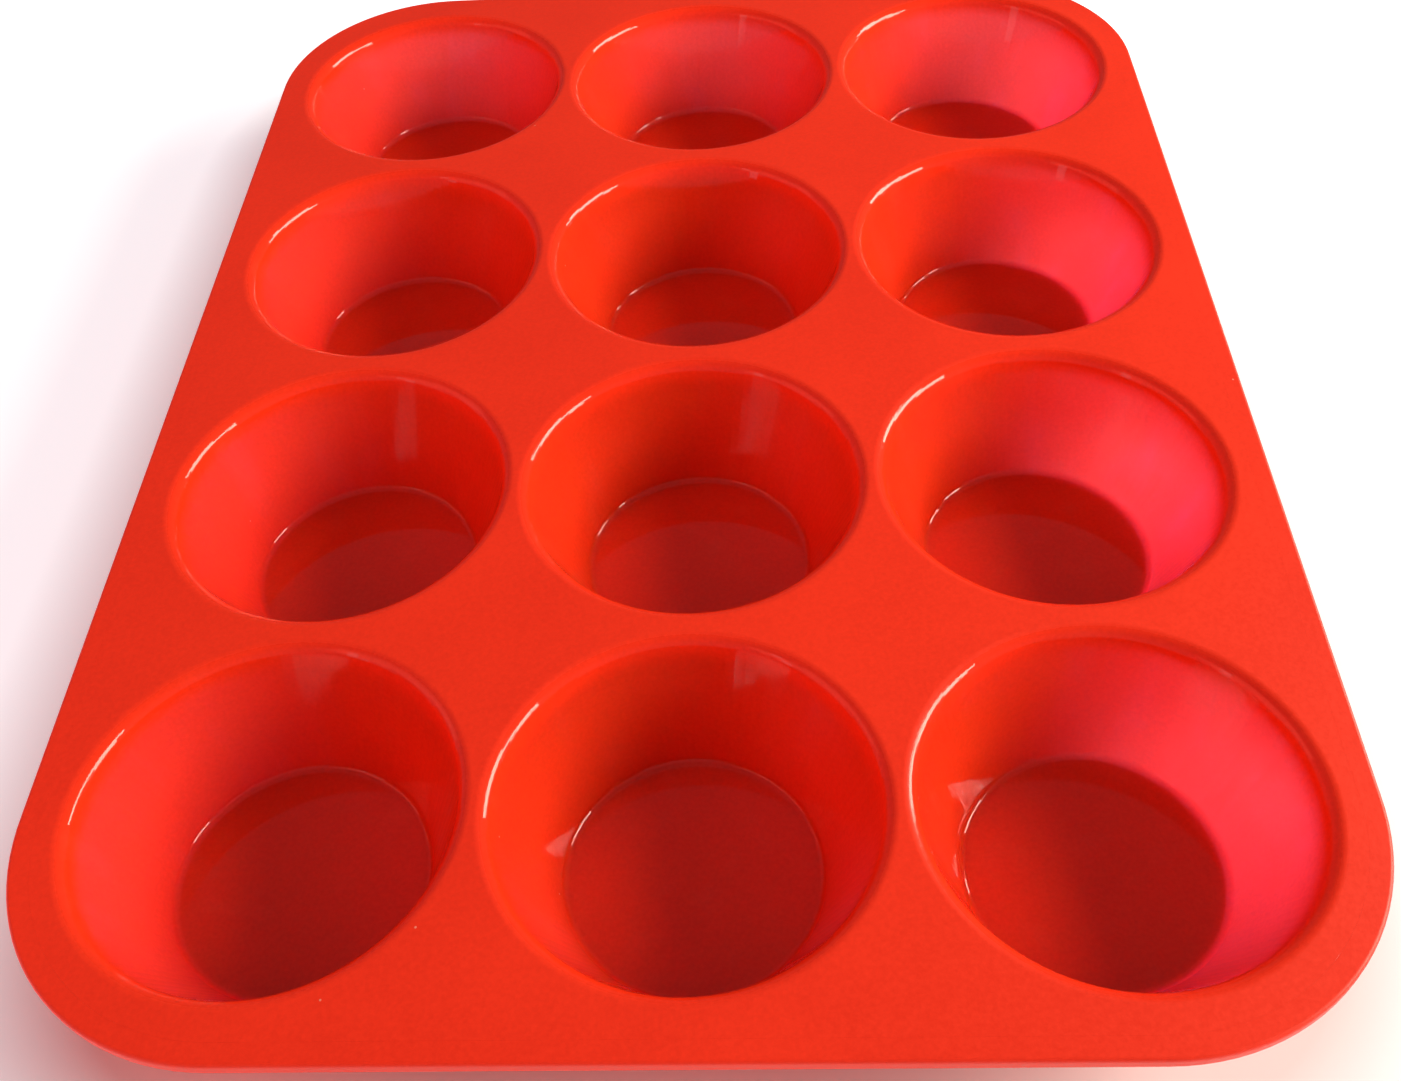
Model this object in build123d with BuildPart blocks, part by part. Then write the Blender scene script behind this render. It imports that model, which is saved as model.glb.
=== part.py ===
from build123d import *
import math
import os

# A flexible twelve-cup muffin pan, moulded in one piece from silicone rubber.
# Millimetres, +Z up. The origin is the middle of the footprint on the surface that the cups
# stand on, +X runs across the columns and +Y runs along the rows, the long way.
# The moulding is divided where its regions meet: an edge band round the outside, a deck with a
# rolled mouth for each cup, and one cup under each mouth. Neighbours touch face to face.

# Overall size
LENGTH = 325.0
WIDTH = 240.0
HEIGHT = 30.0
CORNER_RADIUS = 44.5

# The grid of cups
COLUMNS = 3
ROWS = 4
PITCH_X = 75.7
PITCH_Y = 77.5

# One cup, inside: a cone that narrows towards a flat floor
MOUTH_RADIUS = 35.5
FLOOR_RADIUS = 25.0
FLOOR_THICKNESS = 1.8
WALL_THICKNESS = 1.3
FLOOR_FILLET = 1.8
HEEL_FILLET = 3.0
ROLL_RADIUS = 3.0
NECK_FLARE = 0.8

# The sheet that joins the cups, and the thicker band round it
DECK_THICKNESS = 2.2
BAND_WIDTH = 4.0
BAND_DEPTH = 2.8
BAND_TOP_ROUND = 0.8
BAND_FOOT_ROUND = 0.5

# Worked out from the dimensions above
CUP_DEPTH = HEIGHT - FLOOR_THICKNESS
WALL_SLOPE = (MOUTH_RADIUS - FLOOR_RADIUS) / CUP_DEPTH
WALL_ACROSS = WALL_THICKNESS * math.hypot(1.0, WALL_SLOPE)
DECK_UNDERSIDE = HEIGHT - DECK_THICKNESS
NECK_RADIUS = MOUTH_RADIUS - DECK_THICKNESS * WALL_SLOPE
INNER_LENGTH = LENGTH - 2 * BAND_WIDTH
INNER_WIDTH = WIDTH - 2 * BAND_WIDTH
INNER_CORNER = CORNER_RADIUS - BAND_WIDTH


def wall_radius(height):
    """The cup's inside radius at a height above the standing surface."""
    return FLOOR_RADIUS + (height - FLOOR_THICKNESS) * WALL_SLOPE


def make_edge_band():
    """The thickened, rounded border that stiffens the pan and is what hands hold."""
    with BuildPart() as edge_band:
        with BuildSketch(Plane.XY.offset(HEIGHT - BAND_DEPTH)):
            RectangleRounded(WIDTH, LENGTH, CORNER_RADIUS)
            RectangleRounded(INNER_WIDTH, INNER_LENGTH, INNER_CORNER, mode=Mode.SUBTRACT)
        extrude(amount=BAND_DEPTH)
        top_face = edge_band.faces().sort_by(Axis.Z)[-1]
        foot_face = edge_band.faces().sort_by(Axis.Z)[0]
        fillet(top_face.outer_wire().edges(), BAND_TOP_ROUND)
        fillet(foot_face.outer_wire().edges(), BAND_FOOT_ROUND)
    edge_band.part.label = "edge_band"
    return edge_band


def make_deck():
    """The flat sheet between the cups, with a conical mouth rolled over into its top face."""
    with BuildPart() as deck:
        with BuildSketch(Plane.XY.offset(DECK_UNDERSIDE)):
            RectangleRounded(INNER_WIDTH, INNER_LENGTH, INNER_CORNER)
        extrude(amount=DECK_THICKNESS)
        with Locations((0, 0, DECK_UNDERSIDE)):
            with GridLocations(PITCH_X, PITCH_Y, COLUMNS, ROWS):
                Cone(
                    NECK_RADIUS,
                    MOUTH_RADIUS,
                    DECK_THICKNESS,
                    align=(Align.CENTER, Align.CENTER, Align.MIN),
                    mode=Mode.SUBTRACT,
                )
        mouths = deck.faces().sort_by(Axis.Z)[-1].inner_wires().edges()
        fillet(mouths, ROLL_RADIUS)
    deck.part.label = "deck"
    return deck


def make_cup(name, centre_x, centre_y):
    """One thin-walled cup, from the floor it stands on up to the underside of the deck."""
    middle = Plane(origin=(centre_x, centre_y, 0), x_dir=(1, 0, 0), z_dir=(0, -1, 0))
    neck_foot = DECK_UNDERSIDE - NECK_FLARE
    heel = (wall_radius(0) + WALL_ACROSS, 0)
    floor_corner = (FLOOR_RADIUS, FLOOR_THICKNESS)
    with BuildPart() as cup:
        with BuildSketch(middle) as section:
            with BuildLine():
                Polyline(
                    (0, 0),
                    heel,
                    (wall_radius(neck_foot) + WALL_ACROSS, neck_foot),
                    (NECK_RADIUS + WALL_ACROSS + NECK_FLARE, DECK_UNDERSIDE),
                    (NECK_RADIUS, DECK_UNDERSIDE),
                    floor_corner,
                    (0, FLOOR_THICKNESS),
                    close=True,
                )
            make_face()
            fillet(section.vertices().sort_by_distance(heel)[0], HEEL_FILLET)
            fillet(section.vertices().sort_by_distance(floor_corner)[0], FLOOR_FILLET)
        revolve(axis=Axis((centre_x, centre_y, 0), (0, 0, 1)))
    cup.part.label = name
    return cup


def cup_places():
    """Each cup's name and centre: rows count from the front, columns from the left."""
    for row in range(ROWS):
        for column in range(COLUMNS):
            centre_x = (column - (COLUMNS - 1) / 2) * PITCH_X
            centre_y = (row - (ROWS - 1) / 2) * PITCH_Y
            yield f"cup_row{row + 1}_col{column + 1}", centre_x, centre_y


os.makedirs("parts", exist_ok=True)

edge_band = make_edge_band()
export_step(edge_band.part, "parts/edge_band.step")

deck = make_deck()
export_step(deck.part, "parts/deck.step")

for name, centre_x, centre_y in cup_places():
    cup = make_cup(name, centre_x, centre_y)
    export_step(cup.part, f"parts/{name}.step")
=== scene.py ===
"""A red silicone muffin pan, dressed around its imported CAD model: metres, +Z up, row 1 nearest the camera."""

import math

import bmesh
import bpy
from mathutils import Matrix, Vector


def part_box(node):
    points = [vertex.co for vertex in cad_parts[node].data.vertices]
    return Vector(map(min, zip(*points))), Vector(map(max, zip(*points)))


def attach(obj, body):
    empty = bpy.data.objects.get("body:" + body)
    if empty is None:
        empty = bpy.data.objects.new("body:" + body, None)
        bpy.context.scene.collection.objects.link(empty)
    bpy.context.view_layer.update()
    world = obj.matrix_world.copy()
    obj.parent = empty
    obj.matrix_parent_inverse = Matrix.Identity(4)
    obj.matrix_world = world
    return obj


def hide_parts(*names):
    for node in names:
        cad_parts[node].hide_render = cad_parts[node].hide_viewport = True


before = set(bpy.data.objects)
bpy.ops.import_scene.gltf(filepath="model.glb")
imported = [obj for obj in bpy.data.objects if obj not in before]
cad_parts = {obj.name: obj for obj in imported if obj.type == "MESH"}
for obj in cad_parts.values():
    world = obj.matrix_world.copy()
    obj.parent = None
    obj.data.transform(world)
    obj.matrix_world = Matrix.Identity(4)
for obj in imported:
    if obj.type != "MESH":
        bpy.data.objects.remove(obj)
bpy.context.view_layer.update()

MM = 0.001
UP, OUT, DOWN = math.pi / 2, 0, -math.pi / 2   # directions in a section

# ---------------------------------------------------------------- sizes from the frame
COLUMNS = 3
ROWS = 4
BAND_LOW, BAND_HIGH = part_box("edge_band")
DECK_LOW, DECK_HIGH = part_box("deck")
TOP = DECK_HIGH.z
DECK_UNDERSIDE = DECK_LOW.z
BAND_UNDERSIDE = BAND_LOW.z
HALF_WIDTH = BAND_HIGH.x
HALF_LENGTH = BAND_HIGH.y
BAND_WIDTH = BAND_HIGH.x - DECK_HIGH.x

# ---------------------------------------------------------------- the moulding's own sizes
CORNER_RADIUS = 44.5 * MM
MOUTH_RADIUS = 35.5 * MM      # where the wall, carried on upward, would meet the deck's top
FLOOR_RADIUS = 25.0 * MM
FLOOR_THICKNESS = 1.8 * MM
WALL_THICKNESS = 1.3 * MM
FLOOR_FILLET = 1.8 * MM
HEEL_FILLET = 3.0 * MM
ROLL_RADIUS = 3.0 * MM
NECK_FILLET = 1.2 * MM
BAND_TOP_ROUND = 0.8 * MM
BAND_FOOT_ROUND = 0.5 * MM

WALL_SLOPE = (MOUTH_RADIUS - FLOOR_RADIUS) / (TOP - FLOOR_THICKNESS)
WALL_ACROSS = WALL_THICKNESS * math.hypot(1.0, WALL_SLOPE)
WALL_LEAN = math.atan(WALL_SLOPE)
WALL_TURN = UP - WALL_LEAN
JOINT = 0.01 * MM             # the gap that keeps two pieces of the one moulding from sharing a face
CUP_TOP = DECK_UNDERSIDE - JOINT

# ---------------------------------------------------------------- how finely it is meshed
SEGMENTS = 96                 # points round a cup, a multiple of 8
DECK_LOOPS = 5
ROLL_STEPS = 12
FILLET_STEPS = 8
WALL_STEPS = 8
FLOOR_STEPS = 5
SUPPORT = 0.2 * MM            # a narrow strip beside each rounding, which keeps flat faces flat
WELD = 0.001 * MM             # points closer than this become one
SHARP = math.radians(40)      # edges that turn more than this stay sharp

# ---------------------------------------------------------------- how the surface changes over the moulding
MATT = 0.0                    # values of the "gloss" attribute
GLOSSY = 1.0
UNDER = 0.35
ROLL_MATT_SHARE = 0.15        # the part of the rolled lip, from the deck, that is as matt as the deck
ROLL_POLISH_SHARE = 0.4       # the part after it over which it turns glossy
GLOW_GAP = 0.3 * MM           # no light shows through this far down from the joint with the deck,
GLOW_FADE = 2.4 * MM          # and all of it this far below that


def find_centre(column, row):
    """The middle of a cup, from its CAD node."""
    low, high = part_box(f"cup_row{row + 1}_col{column + 1}")
    return Vector(((low.x + high.x) / 2, (low.y + high.y) / 2))


CENTRES = {(column, row): find_centre(column, row) for column in range(COLUMNS) for row in range(ROWS)}
PITCH = CENTRES[1, 1] - CENTRES[0, 0]


def wall_radius(height):
    return FLOOR_RADIUS + (height - FLOOR_THICKNESS) * WALL_SLOPE


def arc(centre_r, centre_z, radius, start, end, steps):
    """Points (r, z) of an arc in a section, with angles like UP and OUT."""
    for step in range(steps + 1):
        angle = start + (end - start) * step / steps
        yield centre_r + radius * math.cos(angle), centre_z + radius * math.sin(angle)


def straight(start, end, steps):
    """The points between two ends, one of them close beside each end, so that a rounding stops there."""
    length = math.dist(start, end)
    shares = [SUPPORT / length]
    shares += [step / steps for step in range(1, steps)]
    shares += [1 - SUPPORT / length]
    for share in shares:
        yield tuple(a + (b - a) * share for a, b in zip(start, end))


def mouth_profile():
    """The deck's hole from its top over the rolled lip to the joint with the cup: (r, z) points."""
    roll_r = MOUTH_RADIUS + ROLL_RADIUS * math.tan(WALL_TURN / 2)
    roll = list(arc(roll_r, TOP - ROLL_RADIUS, ROLL_RADIUS, UP, UP + WALL_TURN, ROLL_STEPS))
    return [(roll_r + SUPPORT, TOP), *roll, (wall_radius(DECK_UNDERSIDE), DECK_UNDERSIDE)]


def cup_inside():
    """The cup's inside from its top down the wall to the floor: (r, z) points."""
    floor_z = FLOOR_THICKNESS + FLOOR_FILLET
    floor_r = wall_radius(floor_z) - FLOOR_FILLET * math.hypot(1.0, WALL_SLOPE)
    fillet = list(arc(floor_r, floor_z, FLOOR_FILLET, -WALL_LEAN, DOWN, FILLET_STEPS))
    top = (wall_radius(CUP_TOP), CUP_TOP)
    floor = [(floor_r - SUPPORT, FLOOR_THICKNESS)]
    floor += [(floor_r * (FLOOR_STEPS - k) / FLOOR_STEPS, FLOOR_THICKNESS) for k in range(1, FLOOR_STEPS)]
    return [top, *straight(top, fillet[0], WALL_STEPS), *fillet, *floor]


def cup_outside():
    """The cup's outside from the middle of its underside, round the heel and up to its top."""
    heel_r = wall_radius(HEEL_FILLET) + WALL_ACROSS - HEEL_FILLET * math.hypot(1.0, WALL_SLOPE)
    neck_r = wall_radius(CUP_TOP) + WALL_ACROSS + NECK_FILLET * math.tan(WALL_TURN / 2)
    base = [(heel_r * k / FLOOR_STEPS, 0.0) for k in range(1, FLOOR_STEPS)]
    base += [(heel_r - SUPPORT, 0.0)]
    heel = list(arc(heel_r, HEEL_FILLET, HEEL_FILLET, DOWN, -WALL_LEAN, FILLET_STEPS))
    neck = list(arc(neck_r, CUP_TOP - NECK_FILLET, NECK_FILLET, UP + WALL_TURN, UP, FILLET_STEPS))
    return [*base, *heel, *straight(heel[-1], neck[0], WALL_STEPS), *neck]


def band_profile():
    """The border's section, once round from the deck's top: (distance in from the edge, z)."""
    top_z = TOP - BAND_TOP_ROUND
    foot_z = BAND_UNDERSIDE + BAND_FOOT_ROUND
    inner = BAND_WIDTH - JOINT / 2
    top = [(BAND_TOP_ROUND - r, z) for r, z in arc(0, top_z, BAND_TOP_ROUND, UP, OUT, FILLET_STEPS)]
    foot = [(BAND_FOOT_ROUND - r, z) for r, z in arc(0, foot_z, BAND_FOOT_ROUND, OUT, DOWN, FILLET_STEPS)]
    return [(inner, TOP), *straight((inner, TOP), top[0], 2), *top, *straight(top[-1], foot[0], 2), *foot,
            *straight(foot[-1], (inner, BAND_UNDERSIDE), 2), (inner, BAND_UNDERSIDE)]


def round_corner(x, y, inset):
    """Moves a point of the pan's square-cornered outline, inset by a distance, onto its rounded one."""
    half_x, half_y = HALF_WIDTH - inset, HALF_LENGTH - inset
    radius = CORNER_RADIUS - inset
    dx, dy = abs(x) - (half_x - radius), abs(y) - (half_y - radius)
    if min(dx, dy) <= 0:
        return Vector((x, y))
    eighth = math.pi / 4
    angle = eighth * dy / radius if dx >= dy else 2 * eighth - eighth * dx / radius
    return Vector((
        math.copysign(half_x - radius + radius * math.cos(angle), x),
        math.copysign(half_y - radius + radius * math.sin(angle), y),
    ))


def tile_sides(column, row, inset):
    """Where a cup's share of the deck ends: halfway to its neighbours, or at the pan's outline, inset."""
    centre = CENTRES[column, row]
    left = -(HALF_WIDTH - inset) if column == 0 else centre.x - PITCH.x / 2
    right = HALF_WIDTH - inset if column == COLUMNS - 1 else centre.x + PITCH.x / 2
    front = -(HALF_LENGTH - inset) if row == 0 else centre.y - PITCH.y / 2
    back = HALF_LENGTH - inset if row == ROWS - 1 else centre.y + PITCH.y / 2
    return left, right, front, back


def tile_outline(column, row, inset):
    """The outline of a cup's share of the deck, anticlockwise from its front left corner."""
    left, right, front, back = tile_sides(column, row, inset)
    corners = [(left, front), (right, front), (right, back), (left, back)]
    side = SEGMENTS // 4
    for k in range(4):
        (x0, y0), (x1, y1) = corners[k], corners[(k + 1) % 4]
        for step in range(side):
            share = step / side
            yield round_corner(x0 + (x1 - x0) * share, y0 + (y1 - y0) * share, inset)


def circle(centre, radius, height):
    """Points round a cup, which start on the same diagonal as its tile's outline."""
    for k in range(SEGMENTS):
        angle = math.radians(-135) + 2 * math.pi * k / SEGMENTS
        yield Vector((centre.x + radius * math.cos(angle), centre.y + radius * math.sin(angle), height))


def see_through(height):
    """How much light shows through the wall: all of it low down, none at the joint under the deck."""
    share = (DECK_UNDERSIDE - GLOW_GAP - height) / GLOW_FADE
    share = min(max(share, 0.0), 1.0)
    return share * share * (3 - 2 * share)


def roll_gloss(share):
    """How polished the rolled lip is, a share of the way from the deck down to the wall."""
    return min(max((share - ROLL_MATT_SHARE) / ROLL_POLISH_SHARE, MATT), GLOSSY)


class Shell:
    """Builds a closed mesh from loops of points, joined one to the next."""

    def __init__(self):
        self.mesh = bmesh.new()
        self.gloss = self.mesh.verts.layers.float.new("gloss")
        self.glow = self.mesh.verts.layers.float.new("glow")

    def loop(self, points, gloss):
        made = []
        for point in points:
            vert = self.mesh.verts.new(point)
            vert[self.gloss] = gloss
            vert[self.glow] = see_through(vert.co.z)
            made.append(vert)
        return made

    def bridge(self, first, second):
        for k in range(len(first)):
            after = (k + 1) % len(first)
            self.mesh.faces.new((first[k], first[after], second[after], second[k]))

    def chain(self, loops):
        for first, second in zip(loops, loops[1:]):
            self.bridge(first, second)

    def cap(self, ring, point, gloss):
        middle = self.loop([point], gloss)[0]
        for k in range(len(ring)):
            self.mesh.faces.new((ring[k], ring[(k + 1) % len(ring)], middle))

    def finish(self, name):
        """Makes the object, smooth but for its sharp corners, as at a joint."""
        bmesh.ops.remove_doubles(self.mesh, verts=self.mesh.verts, dist=WELD)
        bmesh.ops.recalc_face_normals(self.mesh, faces=self.mesh.faces)
        for edge in self.mesh.edges:
            edge.smooth = edge.calc_face_angle() < SHARP
        data = bpy.data.meshes.new(name)
        self.mesh.to_mesh(data)
        self.mesh.free()
        piece = bpy.data.objects.new(name, data)
        bpy.context.scene.collection.objects.link(piece)
        return piece


def make_cup(column, row):
    centre = CENTRES[column, row]
    shell = Shell()
    inside = [shell.loop(circle(centre, r, z), GLOSSY) for r, z in cup_inside()]
    outside = [shell.loop(circle(centre, r, z), UNDER) for r, z in cup_outside()]
    shell.cap(inside[-1], (centre.x, centre.y, FLOOR_THICKNESS), GLOSSY)
    shell.cap(outside[0], (centre.x, centre.y, 0.0), UNDER)
    shell.chain(inside)
    shell.chain(outside)
    shell.bridge(outside[-1], inside[0])
    return shell.finish(f"cup_wall_row{row + 1}_col{column + 1}")


def deck_loops(shell, column, row, ring_radius, height, gloss):
    """The loops of flat deck from a mouth out to the edge of its tile."""
    ring = list(circle(CENTRES[column, row], ring_radius, height))
    outline = [Vector((p.x, p.y, height)) for p in tile_outline(column, row, BAND_WIDTH + JOINT / 2)]
    for k in range(1, DECK_LOOPS + 1):
        share = k / DECK_LOOPS
        yield shell.loop([a.lerp(b, share) for a, b in zip(ring, outline)], gloss)


def add_tile(shell, column, row):
    """One mouth with its share of the deck, top and underside."""
    centre = CENTRES[column, row]
    mouth = mouth_profile()
    loops = list(deck_loops(shell, column, row, mouth[0][0], TOP, MATT))[::-1]
    loops.append(shell.loop(circle(centre, *mouth[0]), MATT))
    for k, (r, z) in enumerate(mouth[1:]):
        loops.append(shell.loop(circle(centre, r, z), roll_gloss(k / ROLL_STEPS)))
    neck_r = cup_outside()[-1][0]
    loops.append(shell.loop(circle(centre, neck_r, DECK_UNDERSIDE), UNDER))
    loops += deck_loops(shell, column, row, neck_r, DECK_UNDERSIDE, UNDER)
    shell.chain(loops)


def pan_outline(inset):
    """The whole outline, anticlockwise from the front left, at the points where the tiles meet it."""
    side = SEGMENTS // 4
    points = []
    for column in range(COLUMNS):
        points += list(tile_outline(column, 0, inset))[:side]
    for row in range(ROWS):
        points += list(tile_outline(COLUMNS - 1, row, inset))[side:2 * side]
    for column in reversed(range(COLUMNS)):
        points += list(tile_outline(column, ROWS - 1, inset))[2 * side:3 * side]
    for row in reversed(range(ROWS)):
        points += list(tile_outline(0, row, inset))[3 * side:]
    return points


def make_deck():
    shell = Shell()
    for row in range(ROWS):
        for column in range(COLUMNS):
            add_tile(shell, column, row)
    inset = BAND_WIDTH + JOINT / 2
    rims = [shell.loop([(p.x, p.y, z) for p in pan_outline(inset)], MATT) for z in (TOP, DECK_UNDERSIDE)]
    shell.chain(rims)
    return shell.finish("deck_sheet")


def make_band():
    shell = Shell()
    loops = [shell.loop([(p.x, p.y, z) for p in pan_outline(inset)], MATT) for inset, z in band_profile()]
    shell.chain([*loops, loops[0]])
    return shell.finish("rim_band")


def make_pan():
    """Every piece of the moulding, each with the CAD node that it stands for."""
    yield make_deck(), "deck"
    yield make_band(), "edge_band"
    for row in range(ROWS):
        for column in range(COLUMNS):
            yield make_cup(column, row), f"cup_row{row + 1}_col{column + 1}"


# ---------------------------------------------------------------- material
SILICONE_IOR = 1.41
LIGHT_REACH = (0.42 * MM, 0.42 * MM, 0.95 * MM)   # how far red, green and blue light go before they scatter
RADIUS_FROM_PATH = 4 * math.pi                    # the shader's radius for such a length
DEEP_RED = (0.87, 0.034, 0.0080, 1)
LIGHT_RED = (0.97, 0.042, 0.0100, 1)
DUST_COLOUR = (0.95, 0.50, 0.36, 1)
# the colour of a painted reflection: pale streaks painted down the polished cup walls
STREAK_REFLECTION_COLOUR = (0.95, 0.60, 0.45, 1)
CLOUD_SIZE = 35 * MM
MOTTLE_SIZE = 0.8 * MM
GRAIN_SIZE = 0.45 * MM
RELIEF = 0.03 * MM
POLISHED_GRAIN = 0.015                            # how much of the deck's grain is left in the cups
DECK_ROUGHNESS = (0.39, 0.46)
CUP_ROUGHNESS = (0.02, 0.05)
STREAK_WIDTH = 9 * MM
SMEAR_WIDTH = 5 * MM
STREAK_SCALE = (1.0, 1.0, 0.06)                   # height counts for little, so the lumps run down the walls
STREAK_REFLECTION_SHARE = 0.012                                     # how much of the painted reflection's colour the palest streak has
DUST_SPACING = 11 * MM
DUST_EDGE = (0.014, 0.024)                        # where a speck starts to fade and ends, in spacings
DUST_SHARE = 0.38                                 # how many of the places for dust hold any
DUST_TINT = 0.55
DUST_HEIGHT = 0.8


class Nodes:
    """Adds nodes to a material or a world, with their sockets set to values or linked.

    A socket is given by its name, with _ for a space, or by i and its number where names repeat.
    """

    def __init__(self, owner):
        owner.use_nodes = True
        self.tree = owner.node_tree
        self.tree.nodes.clear()

    def add(self, kind, settings=None, **sockets):
        node = self.tree.nodes.new("ShaderNode" + kind)
        for key, value in (settings or {}).items():
            setattr(node, key, value)
        for key, value in sockets.items():
            socket = node.inputs[int(key[1:]) if key[1:].isdigit() else key.replace("_", " ")]
            if isinstance(value, bpy.types.NodeSocket):
                self.tree.links.new(value, socket)
            else:
                socket.default_value = value
        return node

    def maths(self, operation, first, second=0.0, third=0.0):
        return self.add("Math", {"operation": operation}, i0=first, i1=second, i2=third).outputs[0]

    def spread(self, value, from_min, from_max, to_min, to_max):
        node = self.add("MapRange", Value=value, From_Min=from_min, From_Max=from_max,
                        To_Min=to_min, To_Max=to_max)
        return node.outputs["Result"]

    def noise(self, place, size, detail):
        """Noise between 0 and 1 whose lumps are about as wide as size."""
        return self.add("TexNoise", Vector=place, Scale=1 / size, Detail=detail).outputs["Fac"]

    def mix(self, share, first, second):
        """A colour between two. A Mix node's colours are its sockets 6 and 7, and come out of its third."""
        return self.add("Mix", {"data_type": "RGBA"}, i0=share, i6=first, i7=second).outputs[2]


def make_silicone():
    """Red silicone rubber, matt and grained on the deck, polished in the cups, and a little translucent."""
    material = bpy.data.materials.new("silicone_rubber")
    nodes = Nodes(material)
    place = nodes.add("TexCoord").outputs["Object"]
    gloss = nodes.add("Attribute", {"attribute_name": "gloss"}).outputs["Fac"]
    glow = nodes.add("Attribute", {"attribute_name": "glow"}).outputs["Fac"]

    # Colour: slow clouds of pigment, fine mottling, and a few pale specks of dust
    clouds = nodes.noise(place, CLOUD_SIZE, 3.0)
    mottle = nodes.noise(place, MOTTLE_SIZE, 4.0)
    shade = nodes.maths("MULTIPLY_ADD", mottle, 0.5, nodes.maths("MULTIPLY", clouds, 0.5))
    red = nodes.mix(nodes.spread(shade, 0.36, 0.64, 0, 1), DEEP_RED, LIGHT_RED)
    dust = nodes.add("TexVoronoi", Vector=place, Scale=1 / DUST_SPACING)
    near = nodes.spread(dust.outputs["Distance"], *DUST_EDGE, 1, 0)
    draw = nodes.add("SeparateXYZ", Vector=dust.outputs["Color"]).outputs[0]
    speck = nodes.maths("MULTIPLY", near, nodes.maths("GREATER_THAN", draw, 1 - DUST_SHARE))
    dusty = nodes.mix(nodes.maths("MULTIPLY", speck, DUST_TINT), red, DUST_COLOUR)

    # A painted reflection: faint pale streaks painted into the colour down the polished walls
    streak_place = nodes.add("Mapping", Vector=place, Scale=STREAK_SCALE).outputs["Vector"]
    smears = nodes.noise(streak_place, SMEAR_WIDTH, 3.0)
    streaks = nodes.spread(nodes.noise(streak_place, STREAK_WIDTH, 4.0), 0.55, 0.75, 0.0, STREAK_REFLECTION_SHARE)
    colour = nodes.mix(nodes.maths("MULTIPLY", streaks, gloss), dusty, STREAK_REFLECTION_COLOUR)

    # Roughness: the deck's fine texture against the cups' polish, less polished along some streaks
    matt = nodes.spread(mottle, 0.3, 0.7, *DECK_ROUGHNESS)
    polished = nodes.spread(smears, 0.4, 0.75, *CUP_ROUGHNESS)
    roughness = nodes.maths("MULTIPLY_ADD", gloss, nodes.maths("SUBTRACT", polished, matt), matt)

    # Bump: the grain of the mould on the deck, nearly nothing where it was polished, and the specks
    grain = nodes.noise(place, GRAIN_SIZE, 4.0)
    strength = nodes.spread(gloss, MATT, GLOSSY, 1.0, POLISHED_GRAIN)
    relief = nodes.maths("MULTIPLY_ADD", speck, DUST_HEIGHT, nodes.maths("MULTIPLY", grain, strength))
    bump = nodes.add("Bump", Height=relief, Strength=0.6, Distance=RELIEF)

    shader = nodes.add("BsdfPrincipled", Base_Color=colour, Roughness=roughness, IOR=SILICONE_IOR,
                       Subsurface_Weight=glow, Subsurface_Scale=1.0,
                       Subsurface_Radius=[reach * RADIUS_FROM_PATH for reach in LIGHT_REACH],
                       Normal=bump.outputs["Normal"])
    nodes.add("OutputMaterial", Surface=shader.outputs["BSDF"])
    return material


# ---------------------------------------------------------------- the stage, lights and camera
STAGE_REACH = 12.0            # metres each way from the pan
STAGE_GAP = 0.05 * MM         # just clear of the undersides that stand on it
STAGE_COLOUR = (0.80, 0.92, 0.97, 1)
SHINE_COLOUR = (0.90, 0.96, 1.0, 1)
SHINE = 0.70                  # what the floor gives out by itself, away from the pan
SHINE_FADE = 35 * MM          # how far out from the pan's outline it comes up to that
SKY_COLOUR = (0.90, 0.97, 1.0, 1)
SKY_DIM = 0.15
SKY_BRIGHT = 0.30
CAMERA_PLACE = (15.6 * MM, -240.8 * MM, 248.9 * MM)
CAMERA_TURN = (40.10, 2.99, 0.68)   # degrees
SENSOR_WIDTH = 36.0           # millimetres, as is the lens
LENS = 36.18


def make_stage():
    """A pale floor. It shines a little, except under the pan, so that it looks as white as paper."""
    data = bpy.data.meshes.new("floor")
    corners = [(x * STAGE_REACH, y * STAGE_REACH, 0) for x, y in ((-1, -1), (1, -1), (1, 1), (-1, 1))]
    data.from_pydata(corners, [], [(0, 1, 2, 3)])
    floor = bpy.data.objects.new("floor", data)
    bpy.context.scene.collection.objects.link(floor)
    material = bpy.data.materials.new("pale_floor")
    nodes = Nodes(material)
    place = nodes.add("SeparateXYZ", Vector=nodes.add("TexCoord").outputs["Object"])
    squares = []
    for axis, edge in enumerate((HALF_WIDTH, HALF_LENGTH)):
        distance = nodes.maths("ABSOLUTE", place.outputs[axis])
        past = nodes.maths("MAXIMUM", nodes.maths("SUBTRACT", distance, edge - CORNER_RADIUS))
        squares.append(nodes.maths("MULTIPLY", past, past))
    from_corner = nodes.maths("SQRT", nodes.maths("ADD", *squares))
    share = nodes.spread(from_corner, CORNER_RADIUS, CORNER_RADIUS + SHINE_FADE, 0.0, 1.0)
    shader = nodes.add("BsdfPrincipled", Base_Color=STAGE_COLOUR, Roughness=0.8, Emission_Color=SHINE_COLOUR,
                       Emission_Strength=nodes.maths("MULTIPLY", share, SHINE))
    nodes.add("OutputMaterial", Surface=shader.outputs["BSDF"])
    floor.data.materials.append(material)
    floor.location.z = -STAGE_GAP


def aim(thing, target):
    thing.rotation_euler = (Vector(target) - thing.location).to_track_quat("-Z", "Y").to_euler()


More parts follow.
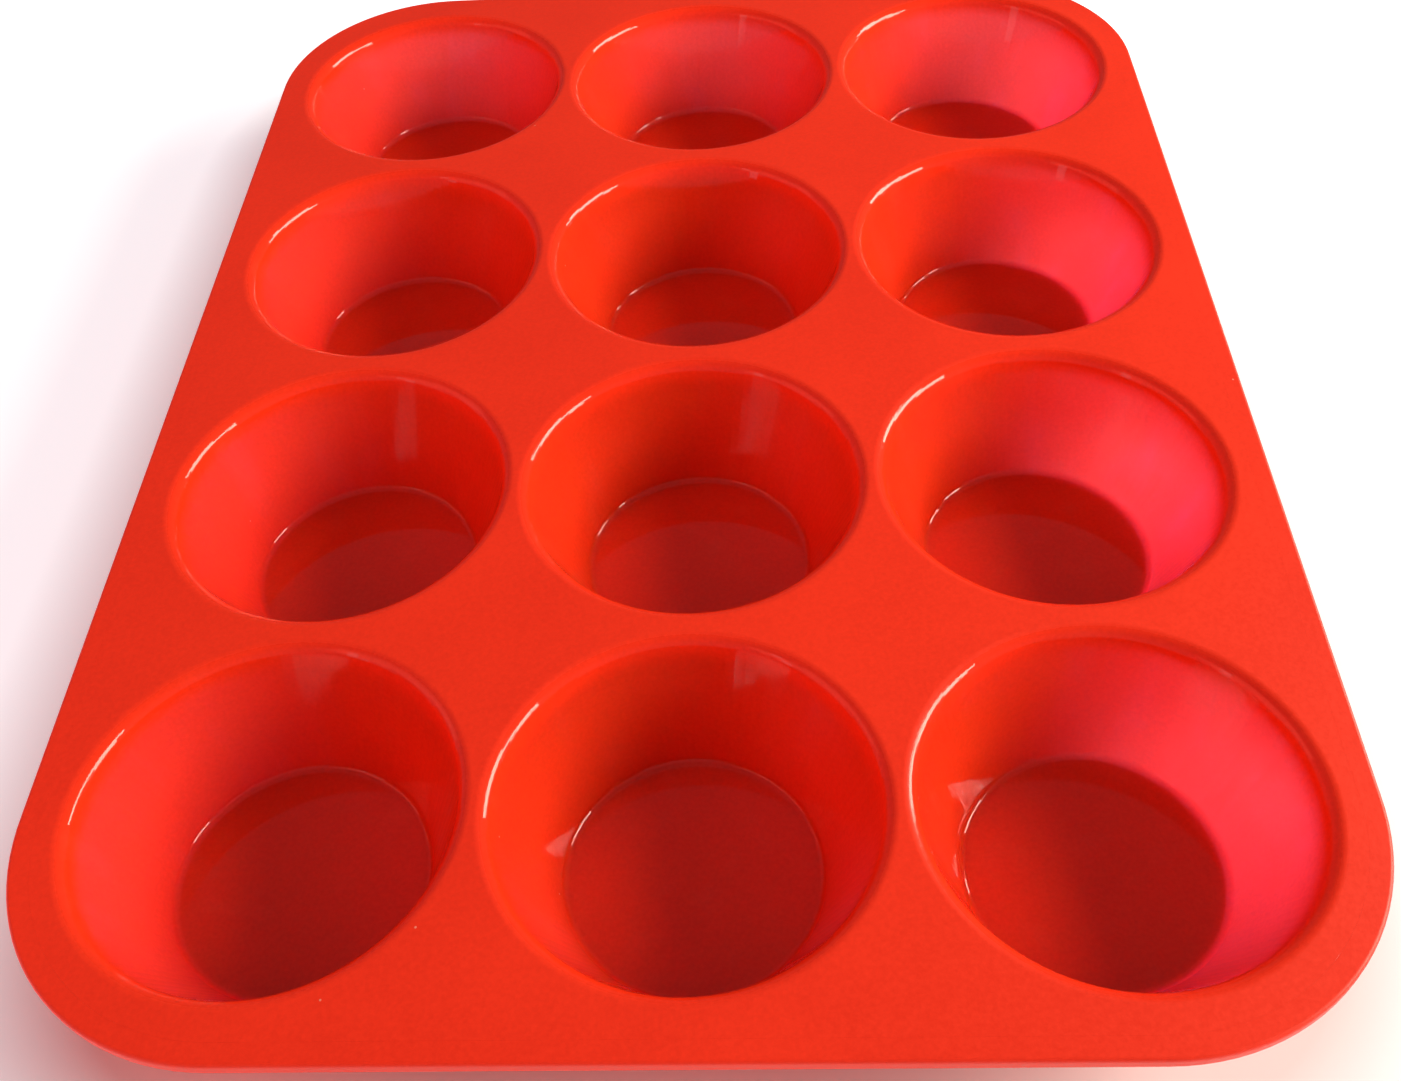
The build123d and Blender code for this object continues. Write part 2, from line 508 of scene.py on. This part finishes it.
def make_light(name, azimuth, elevation, distance, size, power, colour):
    """An area light that looks at the pan's middle. Azimuth 0 is +X and 90 is +Y, degrees."""
    data = bpy.data.lights.new(name, "AREA")
    data.shape = "RECTANGLE"
    data.size, data.size_y = size
    data.energy = power
    data.color = colour
    light = bpy.data.objects.new(name, data)
    a, e = math.radians(azimuth), math.radians(elevation)
    light.location = Vector((math.cos(a) * math.cos(e), math.sin(a) * math.cos(e), math.sin(e))) * distance
    aim(light, (0, 0, TOP))
    bpy.context.scene.collection.objects.link(light)


def make_lights():
    make_light("window", azimuth=5, elevation=26, distance=1.05,
               size=(0.9, 0.34), power=17.2, colour=(1.0, 0.86, 0.70))
    make_light("warm_fill", azimuth=-158, elevation=28, distance=1.4,
               size=(1.6, 0.7), power=10.0, colour=(1.0, 0.12, 0.07))
    make_light("bright_doorway", azimuth=-135, elevation=18, distance=1.4,
               size=(0.12, 0.9), power=0.3, colour=(1.0, 0.95, 0.95))


def make_world():
    """A dim room, darker behind the pan and overhead than elsewhere."""
    world = bpy.data.worlds.new("studio")
    nodes = Nodes(world)
    direction = nodes.add("SeparateXYZ", Vector=nodes.add("TexCoord").outputs["Generated"])
    _, y, z = direction.outputs
    near = nodes.spread(y, 0.0, 0.7, 1.0, 0.0)
    low = nodes.spread(z, 0.4, 0.85, 1.0, 0.0)
    share = nodes.maths("MULTIPLY", near, low)
    strength = nodes.spread(share, 0.0, 1.0, SKY_DIM, SKY_BRIGHT)
    background = nodes.add("Background", Color=SKY_COLOUR, Strength=strength)
    nodes.add("OutputWorld", Surface=background.outputs[0])
    bpy.context.scene.world = world


def make_camera():
    data = bpy.data.cameras.new("camera")
    data.sensor_width = SENSOR_WIDTH
    data.lens = LENS
    camera = bpy.data.objects.new("camera", data)
    camera.location = CAMERA_PLACE
    camera.rotation_euler = [math.radians(angle) for angle in CAMERA_TURN]
    bpy.context.scene.collection.objects.link(camera)
    bpy.context.scene.camera = camera


bpy.context.scene.view_settings.view_transform = "Standard"
silicone = make_silicone()
for piece, node in make_pan():
    piece.data.materials.append(silicone)
    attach(piece, "root")
    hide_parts(node)
make_stage()
make_lights()
make_world()
make_camera()
